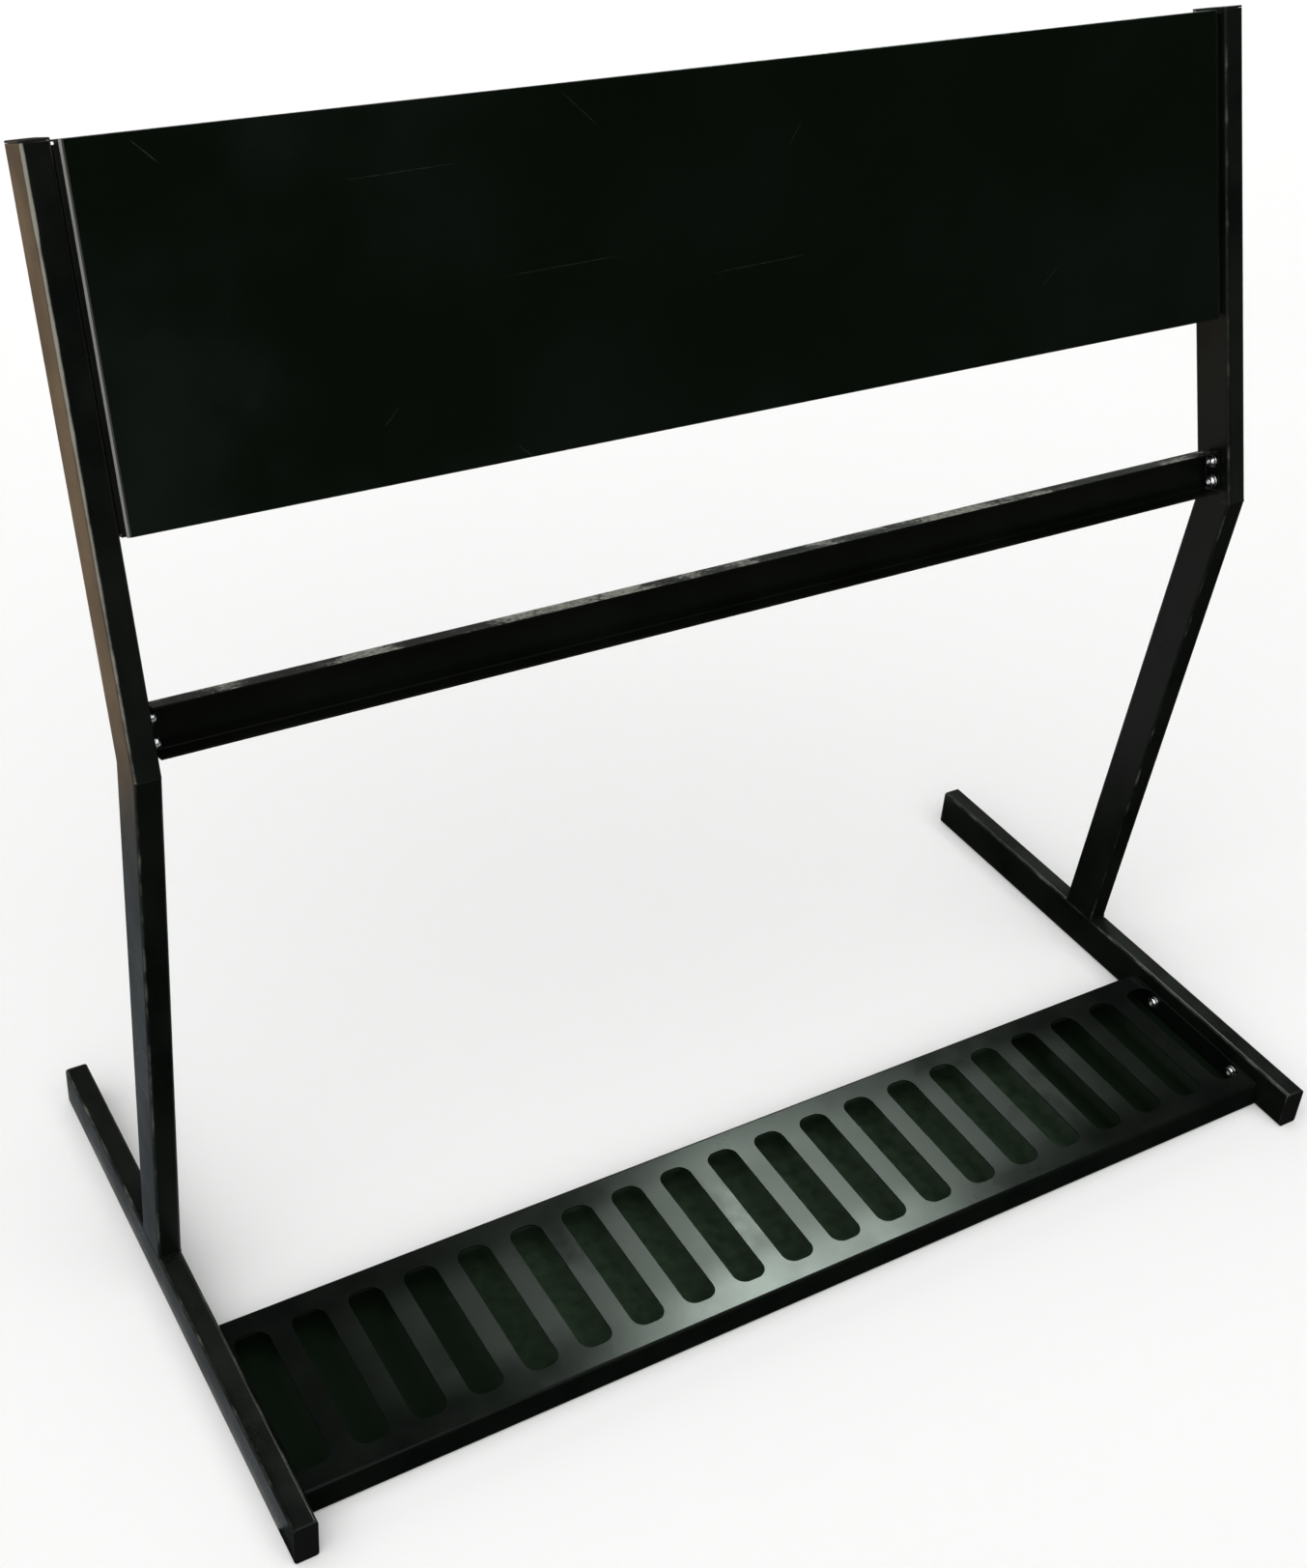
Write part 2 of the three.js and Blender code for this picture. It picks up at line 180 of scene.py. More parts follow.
def mesh_object(name, bm, *materials):
    """Closes a bmesh into a smooth-shaded object whose sharper edges stay sharp."""
    mesh = bpy.data.meshes.new(name)
    bm.to_mesh(mesh)
    bm.free()
    mesh.polygons.foreach_set("use_smooth", [True] * len(mesh.polygons))
    mesh.set_sharp_from_angle(angle=sharp_angle)
    for material in materials:
        mesh.materials.append(material)
    piece = bpy.data.objects.new(name, mesh)
    scene.collection.objects.link(piece)
    return piece


bm = bmesh.new()
profile = [(-floor_reach, 0.0), (sweep_start, 0.0)]
for i in range(1, sweep_steps + 1):
    turn = math.pi / 2 * i / sweep_steps
    profile.append((sweep_start + sweep_radius * math.sin(turn), sweep_radius * (1 - math.cos(turn))))
profile.append((sweep_start + sweep_radius, sweep_height))
rows = [[bm.verts.new((x, y, z)) for y, z in profile] for x in (-floor_reach, floor_reach)]
for i in range(len(profile) - 1):
    bm.faces.new((rows[0][i], rows[1][i], rows[1][i + 1], rows[0][i + 1]))
floor_matt = matt_material("floor_matt", floor_tone_low, floor_tone, scale=0.7)
studio_floor = mesh_object("studio_floor", bm, floor_matt)


def staged_card(name, corners, material):
    """Card between four corners."""
    bm = bmesh.new()
    bm.faces.new([bm.verts.new(corner) for corner in corners])
    card = mesh_object(name, bm, material)
    return card


def lying(low, high, height):
    """Corners of a rectangle that lies at a height over the floor."""
    return ((low[0], low[1], height), (high[0], low[1], height), (high[0], high[1], height),
            (low[0], high[1], height))


# The card under the tray is painted shade: a dark sheet where the tray shades the floor, darkest at both
# ends.
tray_low, tray_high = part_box("base_tray")
ground_low = (tray_low.x - ground_side_reach, tray_low.y + ground_front_inset)
ground_high = (tray_high.x + ground_side_reach, tray_high.y + ground_rear_reach)
staged_card("painted_shade_under_tray", lying(ground_low, ground_high, ground_height),
            matt_material("ground_painted_shade", ground_shade_tone_low, ground_shade_tone, scale=90.0, fades=ground_shade_fades))

# Cards that only reflections see. The brown and the grey one lie at the left, for the outer side of the
# left post and of the left leg. The dark ones lie in front, at the right and between the feet, and one
# stands far behind. Each lying card has its low and its high corner, in metres.
card_height = 1 * mm
card_clouds = 6.0
card_reach = 2.4
card_split = 0.70
card_brown = matt_material("card_brown", dark=(0.86, 0.60, 0.37, 1), light=(0.98, 0.68, 0.42, 1),
                           scale=card_clouds)
card_grey = matt_material("card_grey", dark=(0.24, 0.27, 0.29, 1), light=(0.33, 0.37, 0.40, 1),
                          scale=card_clouds)
card_dark = matt_material("card_dark", dark=(0.0045, 0.007, 0.0045, 1), light=(0.014, 0.0195, 0.014, 1),
                          scale=card_clouds)
lying_cards = {
    "brown_card": ((-2.2, card_split), (-0.62, 4.0), card_brown),
    "grey_card": ((-0.95, -0.32), (-0.518, card_split), card_grey),
    "front_card": ((-1.2, -card_reach), (card_reach, tray_low.y - 0.5 * mm), card_dark),
    "right_card": ((0.516, tray_low.y), (card_reach, 0.1), card_dark),
    "inner_card": ((0.25, tray_high.y + 16 * mm), (0.494, 0.30), card_dark),
}
rear_card_corners = [(x, 4.6, z) for x, z in ((-2.5, 0.0), (8.0, 0.0), (8.0, 3.2), (-2.5, 3.2))]
cards = [staged_card(name, lying(low, high, card_height), material)
         for name, (low, high, material) in lying_cards.items()]
cards.append(staged_card("rear_card", rear_card_corners, card_dark))
for card in cards:
    card.visible_camera = card.visible_diffuse = card.visible_shadow = False

world = bpy.data.worlds.new("room")
scene.world = world
world.use_nodes = True
background = world.node_tree.nodes["Background"]
background.inputs["Color"].default_value = room_tone
background.inputs["Strength"].default_value = room_strength


def lamp(name, kind, place, target, **settings):
    """A lamp at place that faces target."""
    data = bpy.data.lights.new(name, kind)
    for key, value in settings.items():
        setattr(data, key, value)
    made = bpy.data.objects.new(name, data)
    made.location = place
    made.rotation_mode = "QUATERNION"
    made.rotation_quaternion = (Vector(target) - Vector(place)).to_track_quat("-Z", "Y")
    made.visible_camera = False
    scene.collection.objects.link(made)
    return made


lamp("overhead", "SUN", place=(-1.4, -1.4, 3.6), target=(0, 0, 0), energy=3.35, angle=math.radians(100))
back_box = lamp("back_box", "AREA", place=(1.01, 0.97, 1.90), target=(-0.02, -0.15, 0.03), energy=72,
                shape="RECTANGLE", size=0.52, size_y=0.50, color=(0.85, 1.0, 0.89))
left_box = lamp("left_box", "AREA", place=(-2.6, -0.9, 0.9), target=(-0.5, 0.1, 0.7), energy=26,
                shape="RECTANGLE", size=1.3, size_y=1.8, color=(1.0, 0.95, 0.90))
back_box.visible_diffuse = left_box.visible_diffuse = False


# Side frames: a foot, a leg and a post of flat steel tube, 20 x 40 mm with a 1.5 mm wall, on each side.
# The ends are sawn at an angle, welded, ground and powder coated black with a light orange peel.
steel_left, steel_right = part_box("left_foot"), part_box("right_foot")
tube_width = steel_left[1].x - steel_left[0].x
tube_depth = steel_left[1].z
tube_wall = 1.5 * mm
tube_corner = 3 * mm
tube_least_corner = 0.3 * mm
corner_steps = 6
rub_width = 1.2 * mm
end_wear = 0.5
seat_gap = 0.3 * mm
knee = Vector((0, -26.06, 555)) * mm
leg_lean = math.radians(5)
post_lean = math.radians(18)
post_length = 425 * mm
plug_flange = 2 * mm
nut_hole_radius = 4.8 * mm
nut_hole_steps = 32
frame_black = (0.0042, 0.0054, 0.0042, 1)
frame_black_deep = (0.0022, 0.0030, 0.0024, 1)
dust_grey = (0.11, 0.11, 0.095, 1)
dust_roughness = 0.75
# Pale tone of rubbed corners; on the posts it is partly a painted highlight.
rubbed_and_highlight_grey = (0.25, 0.24, 0.20, 1)
paint_index = 1.25
peel_depth = 0.05 * mm

# How worn each corner is: front right, rear right, rear left and front left. On the posts the rub is partly a
# painted highlight, most of all along the left post's outer front corner.
foot_wear = (0.42, 0.3, 0.3, 0.42)
leg_wear = (0.35, 0.3, 0.3, 0.4)
post_wear_and_highlight = {"left": (0.35, 0.4, 0.4, 1.25), "right": (0.4, 0.4, 0.4, 0.30)}
post_low_share = {"left": 0.5, "right": 1.3}

post_frame = Matrix.Translation(knee) @ Matrix.Rotation(-post_lean, 4, "X")
leg_frame = Matrix.Translation(knee) @ Matrix.Rotation(leg_lean, 4, "X")
foot_frame = Matrix.Translation((0, 0, tube_depth)) @ Matrix.Rotation(-math.pi / 2, 4, "X")
foot_half = (steel_left[1].y - steel_left[0].y) / 2
mitre_slope = math.tan((leg_lean + post_lean) / 2)
sides = {"left": -1, "right": 1}
inner_face = steel_right[0].x
tube_middle = inner_face + tube_width / 2
post_joints = ("bar_upper", "bar_lower", "header_upper", "header_lower")
foot_joints = ("tray_front", "tray_rear")


def new_group(name, inputs, outputs):
    """A shader node group with named float inputs and outputs. Returns its tree, the sockets that give
    its inputs and the sockets that take its outputs."""
    group = bpy.data.node_groups.new(name, "ShaderNodeTree")
    for label, value in inputs.items():
        socket = group.interface.new_socket(label, in_out="INPUT", socket_type="NodeSocketFloat")
        socket.default_value = value
    for label in outputs:
        group.interface.new_socket(label, in_out="OUTPUT", socket_type="NodeSocketFloat")
    return group, group.nodes.new("NodeGroupInput").outputs, group.nodes.new("NodeGroupOutput").inputs


def noise(tree, place, size, detail, roughness):
    """Noise socket whose grains are about size millimetres across."""
    return node(tree, "ShaderNodeTexNoise", {
        "Vector": place, "Scale": math_node(tree, "DIVIDE", 1000.0, size), "Detail": detail,
        "Roughness": roughness}).outputs["Fac"]


def facing_up(tree):
    """Socket that is 1 on a face that looks straight up and 0 on an upright one."""
    return parts_of(tree, node(tree, "ShaderNodeNewGeometry").outputs["Normal"])["Z"]


# Powder coat: orange peel and trapped nibs for the bump, and slow clouds that change tone and gloss.
coat_group, given, result = new_group("powder_coat", {"Peel Size": 1.4, "Cloud Size": 60.0, "Nibs": 0.3},
                                      ("Height", "Clouds"))
tree = coat_group
place = object_place(tree)
peel = noise(tree, place, given["Peel Size"], detail=2.0, roughness=0.4)
cloud = noise(tree, place, given["Cloud Size"], detail=4.0, roughness=0.55)
nib = node(tree, "ShaderNodeTexVoronoi", {"Vector": place, "Scale": 160.0}).outputs["Distance"]
nib_height = product(tree, ramp(tree, nib, zero_at=0.12, one_at=0.03), given["Nibs"])
tree.links.new(math_node(tree, "ADD", peel, nib_height), result["Height"])
tree.links.new(cloud, result["Clouds"])

# Settled dust: more on faces that look up, in specks and thin patches.
dust_group, given, result = new_group("settled_dust", {"Amount": 0.5, "Speck Size": 0.9, "Patch Size": 45.0},
                                      ("Mask",))
tree = dust_group
place = object_place(tree)
specks = noise(tree, place, given["Speck Size"], detail=3.0, roughness=0.7)
patches = noise(tree, place, given["Patch Size"], detail=3.0, roughness=0.5)
dusty = product(tree, ramp(tree, specks, zero_at=0.50, one_at=0.78),
                ramp(tree, patches, zero_at=0.35, one_at=0.75),
                ramp(tree, facing_up(tree), zero_at=0.15, one_at=0.95), given["Amount"])
tree.links.new(dusty, result["Mask"])

# Rubbed edges: the paint is polished and thinned along corners, in broken stretches. The attribute edge
# gives how worn each corner of the mesh is. On the posts' front corners the pale rub is partly a painted
# highlight.
rub_and_highlight_group, given, result = new_group("rubbed_edge_and_highlight", {"Amount": 0.5, "Break Size": 24.0}, ("Mask",))
tree = rub_and_highlight_group
edge = node(tree, "ShaderNodeAttribute", attribute_name="edge").outputs["Fac"]
breaks = noise(tree, object_place(tree), given["Break Size"], detail=5.0, roughness=0.6)
uneven = math_node(tree, "MULTIPLY_ADD", edge, 0.9, math_node(tree, "SUBTRACT", breaks, 0.5))
rubbed = product(tree, ramp(tree, uneven, zero_at=0.25, one_at=1.0), given["Amount"])
tree.links.new(rubbed, result["Mask"])


def use_group(tree, group, **values):
    """Places a node group in a material with its own values, and returns its output sockets. A value's
    name has _ for each blank."""
    placed = node(tree, "ShaderNodeGroup", node_tree=group)
    for name, value in values.items():
        placed.inputs[name.replace("_", " ").title()].default_value = value
    return placed.outputs


def mix_value(tree, share, low, high):
    """Value socket that goes from low to high as share goes from 0 to 1."""
    return node(tree, "ShaderNodeMix", {0: share, 2: low, 3: high}).outputs[0]


def paint_material(name, dark, light, gloss, peel_size, dust, rub, specular):
    """Black powder coat with its orange peel, clouds, dust and rubbed edges, whose pale rub is partly a
    painted highlight.
    """
    material, tree = new_material(name)
    coat = use_group(tree, coat_group, peel_size=peel_size)
    dusty = use_group(tree, dust_group, amount=dust)["Mask"]
    rubbed = use_group(tree, rub_and_highlight_group, amount=rub)["Mask"]
    clouds = ramp(tree, coat["Clouds"], zero_at=0.3, one_at=0.7)
    colour = mix_colour(tree, clouds, dark, light)
    colour = mix_colour(tree, rubbed, colour, rubbed_and_highlight_grey)
    colour = mix_colour(tree, dusty, colour, dust_grey)
    roughness = mix_value(tree, clouds, gloss[0], gloss[1])
    roughness = mix_value(tree, dusty, roughness, dust_roughness)
    surface(tree, {"Base Color": colour, "Roughness": roughness, "IOR": paint_index,
                   "Specular IOR Level": specular}, coat["Height"], strength=0.35, depth=peel_depth)
    return material


def wear_over(material, mask, colour, roughness):
    """Lays a worn tone and its roughness over a paint, as far as mask goes."""
    tree = material.node_tree
    shader = next(n for n in tree.nodes if n.type == "BSDF_PRINCIPLED")
    for name, mix, worn in (("Base Color", mix_colour, colour), ("Roughness", mix_value, roughness)):
        socket = shader.inputs[name]
        tree.links.new(mix(tree, mask, socket.links[0].from_socket, worn), socket)


frame_paint = paint_material("frame_powder_coat", frame_black_deep, frame_black, gloss=(0.26, 0.38),
                             peel_size=1.6, dust=0.35, rub=0.9, specular=0.22)


def finish_piece(piece, node_name):
    """A detailed piece rides on the stand and stands for its CAD node, which it hides."""
    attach(piece, "root")
    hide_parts(node_name)


def even_normals(piece):
    """Large flat faces keep flat normals beside their rounded corners."""
    modifier = piece.modifiers.new("even_normals", "WEIGHTED_NORMAL")
    modifier.keep_sharp = True
    modifier.weight = 100


def tube_outline(inset, wear=(0, 0, 0, 0)):
    """Rounded section of the tube as (x, y, wear), front face at y = 0, taken in by inset."""
    radius = max(tube_corner - inset, tube_least_corner)
    half = tube_width / 2 - inset
    near, far = inset, tube_depth - inset
    corners = ((half, near, -90), (half, far, 0), (-half, far, 90), (-half, near, 180))
    points = []
    for (x, y, start), worn in zip(corners, wear):
        centre_x = x - math.copysign(radius, x)
        centre_y = y + radius if y == near else y - radius
        first, last = math.radians(start), math.radians(start + 90)
        before = Vector((math.cos(first), math.sin(first))) * radius
        after = Vector((math.cos(last), math.sin(last))) * radius
        slide = rub_width * after.normalized()
        points.append((centre_x + before.x - slide.x, centre_y + before.y - slide.y, 0.0))
        for i in range(corner_steps + 1):
            turn = first + (last - first) * i / corner_steps
            points.append((centre_x + radius * math.cos(turn), centre_y + radius * math.sin(turn),
                           worn * math.sin(math.pi * i / corner_steps)))
        slide = rub_width * before.normalized()
        points.append((centre_x + after.x - slide.x, centre_y + after.y - slide.y, 0.0))
    return points


def bridge(bm, ring_a, ring_b):
    """Quads between two closed rings with as many points."""
    for i in range(len(ring_a)):
        j = (i + 1) % len(ring_a)
        bm.faces.new((ring_a[i], ring_a[j], ring_b[j], ring_b[i]))


def tube_piece(name, matrix, low, high, wear, low_share=1.0):
    """Hollow tube along z between two slanted ends, where low and high give z for a point's y. Its
    corners' wear fades to low_share of itself at the low end."""
    bm = bmesh.new()
    edge_layer = bm.verts.layers.float.new("edge")

    def ring(outline, end, shift, at_end, share=1.0):
        made = []
        for x, y, worn in outline:
            vert = bm.verts.new((x, y, end(y) + shift))
            vert[edge_layer] = max(worn * share, at_end)
            made.append(vert)
        return made

    outer, inner = tube_outline(0, wear), tube_outline(tube_wall)
    outside = [ring(outer, low, 0, end_wear), ring(outer, low, rub_width, 0.0, low_share),
               ring(outer, high, -rub_width, 0.0), ring(outer, high, 0, end_wear)]
    inside = [ring(inner, low, 0, 0.0), ring(inner, high, 0, 0.0)]
    for a, b in zip(outside, outside[1:]):
        bridge(bm, a, b)
    bridge(bm, inside[1], inside[0])
    bridge(bm, inside[0], outside[0])
    bridge(bm, outside[3], inside[1])
    bm.transform(matrix)
    return mesh_object(name, bm, frame_paint)


def bolt_place(node_name, holder):
    """y and z of the middle of one of the frame's bolts, in the axes of the piece that holds it."""
    low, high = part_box(node_name)
    middle = holder.inverted() @ ((low + high) / 2)
    return middle.y, middle.z


def apply_modifiers(piece):
    """Puts the result of the piece's modifiers into its mesh."""
    graph = bpy.context.evaluated_depsgraph_get()
    mesh = bpy.data.meshes.new_from_object(piece.evaluated_get(graph))
    piece.modifiers.clear()
    old = piece.data
    piece.data = mesh
    bpy.data.meshes.remove(old)
    mesh.name = piece.name


def drill(piece, holder, side_name, joints):
    """Round holes for the joints' rivet nuts, through the tube wall that faces the middle of the stand."""
    bm = bmesh.new()
    for joint in joints:
        y, z = bolt_place(f"{side_name}_{joint}_bolt", holder)
        spot = (Matrix.Translation((sides[side_name] * inner_face, y, z))
                @ Matrix.Rotation(math.pi / 2, 4, "Y"))
        bmesh.ops.create_cone(bm, cap_ends=True, segments=nut_hole_steps, radius1=nut_hole_radius,
                              radius2=nut_hole_radius, depth=4 * tube_wall, matrix=holder @ spot)
    cutter = mesh_object("drill", bm)
    cut = piece.modifiers.new("drill", "BOOLEAN")
    cut.object, cut.operation, cut.solver = cutter, "DIFFERENCE", "EXACT"
    apply_modifiers(piece)
    bpy.data.objects.remove(cutter)


def leg_floor_end(y):
    """Height of the leg's lower end for a point's y: it's sawn level, just over the foot."""
    return (tube_depth + seat_gap - knee.z - y * math.sin(leg_lean)) / math.cos(leg_lean)


for side_name, side in sides.items():
    across = Matrix.Translation((side * tube_middle, 0, 0))
    foot = tube_piece(f"{side_name}_foot_tube", across @ foot_frame, lambda y: -foot_half,
                      lambda y: foot_half, foot_wear)
    drill(foot, Matrix.Identity(4), side_name, foot_joints)
    leg = tube_piece(f"{side_name}_leg_tube", across @ leg_frame, leg_floor_end,
                     lambda y: -y * mitre_slope - seat_gap / 2, leg_wear)
    post = tube_piece(f"{side_name}_post_tube", across @ post_frame,
                      lambda y: y * mitre_slope + seat_gap / 2, lambda y: post_length - plug_flange,
                      post_wear_and_highlight[side_name], low_share=post_low_share[side_name])
    drill(post, post_frame, side_name, post_joints)
    for piece, node_name in ((foot, "foot"), (leg, "leg"), (post, "post")):
        even_normals(piece)
        finish_piece(piece, f"{side_name}_{node_name}")


# Weld seams: a ground-back bead closes each knee, and a small fillet runs round the foot of each leg.
# They are painted over with the frame.
bead_steps = 8
bead_spacing = 0.5 * mm
knee_bead_radius = 0.9 * mm
knee_bead_proud = 0.25 * mm
foot_bead_radius = 1.5 * mm
foot_bead_proud = 0.7 * mm
ripple_share = 0.10
ripple_length = 2.4 * mm
ground_back = 0.02 * mm


def weld_bead(name, matrix, level, radius, proud):
    """Rippled bead that follows the tube's outline, where level gives z for a point's y. It's ground
    back on the tube's two wide sides."""
    side_limit = tube_width / 2 - ground_back
    outline = [Vector((x, y, level(y))) for x, y, _ in tube_outline(radius - proud)]
    path = []
    for i, point in enumerate(outline):
        following = outline[(i + 1) % len(outline)]
        parts = max(1, round((following - point).length / bead_spacing))
        path += [point.lerp(following, k / parts) for k in range(parts)]
    bm = bmesh.new()
    rings = []
    travelled = 0.0
    for i, point in enumerate(path):
        along = (path[(i + 1) % len(path)] - path[i - 1]).normalized()
        outward = along.cross(Vector((0, 0, 1))).normalized()
        upward = outward.cross(along)
        travelled += (point - path[i - 1]).length if i else 0.0
        swell = radius * (1 + ripple_share * math.sin(2 * math.pi * travelled / ripple_length))
        ring = [point + swell * (math.cos(a) * outward + math.sin(a) * upward)
                for a in (2 * math.pi * k / bead_steps for k in range(bead_steps))]
        rings.append([bm.verts.new((max(-side_limit, min(side_limit, v.x)), v.y, v.z)) for v in ring])
    for i in range(len(rings)):
        bridge(bm, rings[i - 1], rings[i])
    bmesh.ops.recalc_face_normals(bm, faces=bm.faces)
    bm.transform(matrix)
    return mesh_object(name, bm, frame_paint)


for side_name, side in sides.items():
    across = Matrix.Translation((side * tube_middle, 0, 0))
    seams = (
        weld_bead(f"{side_name}_knee_weld", across @ post_frame, lambda y: y * mitre_slope,
                  knee_bead_radius, knee_bead_proud),
        weld_bead(f"{side_name}_foot_weld", across @ leg_frame, leg_floor_end,
                  foot_bead_radius, foot_bead_proud),
    )
    for seam in seams:
        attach(seam, "root")


# Tube plugs: injection-moulded black plastic pushed into each open end. A chamfered flange covers the
# rim, and the hollow body below it grips the wall with two thin fins.
plug_chamfer = 0.6 * mm
plug_ease = 0.25 * plug_chamfer
plug_ease_in = 0.35 * plug_chamfer
plug_depth = 12 * mm
plug_wall = 1.5 * mm
plug_fin = 0.7 * mm
plug_fin_draft = 0.2 * plug_fin
plug_fin_thickness = 1.2 * mm
plug_fins = 2
plug_gap = 0.3 * mm
plug_least_corner = 1.2 * mm
plug_black = (0.0035, 0.0040, 0.0035, 1)
plug_grey = (0.0070, 0.0078, 0.0070, 1)

plug_plastic, tree = new_material("moulded_plug_plastic")
moulded = use_group(tree, coat_group, peel_size=0.5, cloud_size=18.0, nibs=0.0)
dusty = use_group(tree, dust_group, amount=0.5)["Mask"]
colour = mix_colour(tree, moulded["Clouds"], plug_black, plug_grey)
surface(tree, {"Base Color": mix_colour(tree, dusty, colour, dust_grey), "IOR": paint_index,
               "Roughness": mix_value(tree, moulded["Clouds"], 0.45, 0.62), "Specular IOR Level": 0.35},
        moulded["Height"], strength=0.3, depth=0.04 * mm)


def rounded_ring(bm, half_width, half_depth, radius, z):
    """Ring of a rounded rectangle round the z axis."""
    made = []
    for start, (x, y) in enumerate(((1, -1), (1, 1), (-1, 1), (-1, -1))):
        for i in range(corner_steps + 1):
            turn = math.pi / 2 * (start - 1 + i / corner_steps)
            made.append(bm.verts.new((x * (half_width - radius) + radius * math.cos(turn),
                                      y * (half_depth - radius) + radius * math.sin(turn), z)))
    return made


def plug_piece(name, matrix):
    """Closed plug whose seat on the tube's rim is at z = 0 and whose body goes down from there."""
    grip = tube_wall + plug_gap
    body = grip + plug_fin
    hollow = body + plug_wall
    profile = [(plug_chamfer, plug_flange), (plug_ease_in, plug_flange - plug_ease),
               (0, plug_flange - plug_chamfer), (0, seat_gap + plug_ease), (plug_ease, seat_gap),
               (body, seat_gap)]
    for i in range(plug_fins):
        middle = -(i + 1) * plug_depth / (plug_fins + 1)
        top, bottom = middle + plug_fin_thickness / 2, middle - plug_fin_thickness / 2
        profile += [(body, top), (grip, top), (grip + plug_fin_draft, bottom), (body, bottom)]
    profile += [(body, -plug_depth), (hollow, -plug_depth), (hollow, 0)]
    bm = bmesh.new()
    rings = []
    for inset, z in profile:
        radius = max(tube_corner - inset, plug_least_corner)
        rings.append(rounded_ring(bm, tube_width / 2 - inset, tube_depth / 2 - inset, radius, z))
    for a, b in zip(rings, rings[1:]):
        bridge(bm, b, a)
    bm.faces.new(rings[0])
    bm.faces.new(reversed(rings[-1]))
    bm.transform(matrix @ Matrix.Translation((0, tube_depth / 2, 0)))
    piece = mesh_object(name, bm, plug_plastic)
    even_normals(piece)
    return piece


plug_seats = {
    "foot_front": Matrix.Translation((0, -foot_half, 0)) @ Matrix.Rotation(math.pi / 2, 4, "X"),
    "foot_rear": Matrix.Translation((0, foot_half, tube_depth)) @ Matrix.Rotation(-math.pi / 2, 4, "X"),
    "post": post_frame @ Matrix.Translation((0, 0, post_length - plug_flange)),
}
for side_name, side in sides.items():
    across = Matrix.Translation((side * tube_middle, 0, 0))
    for place_name, plug_seat in plug_seats.items():
        plug = plug_piece(f"{side_name}_{place_name}_plug", across @ plug_seat)
        finish_piece(plug, f"{side_name}_{place_name}_cap")


# Floor tray: one sheet of 1.5 mm steel with twenty punched slots, folded down on all four sides. The end
# folds are bolted to the feet, and the coat is a little glossier than the frame's.
tray_sheet = 1.5 * mm
tray_lip = 25 * mm
tray_end_fold = 24 * mm
bend_radius = 1.5 * mm
bend_relief = 2 * mm
bend_steps = 6
slot_pitch = 50 * mm
slot_width = 30 * mm
slot_length = 140 * mm
slot_corner = 11 * mm
hole_steps = 8
bolt_hole_radius = 3.4 * mm
same_point = 0.001 * mm
same_point_digits = 7
cut_edge = 0.22 * mm
cut_edge_angle = math.radians(40)
tray_black = (0.0034, 0.0047, 0.0036, 1)
tray_black_deep = (0.0018, 0.0028, 0.0021, 1)
# Grey of the scuffed ribs: partly rubbed paint and partly a painted highlight.
scuff_and_highlight_grey = (0.013, 0.0158, 0.013, 1)
scuff_roughness = 0.30
scuff_core, scuff_reach = 0.20 * slot_length, 0.52 * slot_length
scuff_fade_start, scuff_fade_end = 300 * mm, 470 * mm


def half_outline(hole, side):
    """Points round one half of a rounded hole, from its low middle to its high middle."""
    s, t, half_s, half_t, radius = hole
    points = [(s, t - half_t)]
    for centre_t, start in ((t - half_t + radius, -90), (t + half_t - radius, 0)):
        for i in range(hole_steps + 1):
            turn = math.radians(start + 90 * i / hole_steps)
            points.append((s + side * (half_s - radius + radius * math.cos(turn)),
                           centre_t + radius * math.sin(turn)))
    points.append((s, t + half_t))
    clean = points[:1]
    for point in points[1:]:
        if math.dist(point, clean[-1]) > same_point:
            clean.append(point)
    return clean


def holed_plate(s_ends, t_ends, holes, marks=()):
    """Faces of a plate with a row of holes along s. It's parted at the middle of each hole, and marks
    are more points on its two short ends."""
    cuts = [s_ends[0], *(hole[0] for hole in holes), s_ends[1]]
    faces = []
    for k in range(len(cuts) - 1):
        face = [(cuts[k], t_ends[0]), (cuts[k + 1], t_ends[0])]
        face += half_outline(holes[k], -1) if k < len(holes) else [(cuts[-1], t) for t in marks]
        face += [(cuts[k + 1], t_ends[1]), (cuts[k], t_ends[1])]
        face += reversed(half_outline(holes[k - 1], 1)) if k else [(cuts[0], t) for t in reversed(marks)]
        faces.append(face)
    return faces


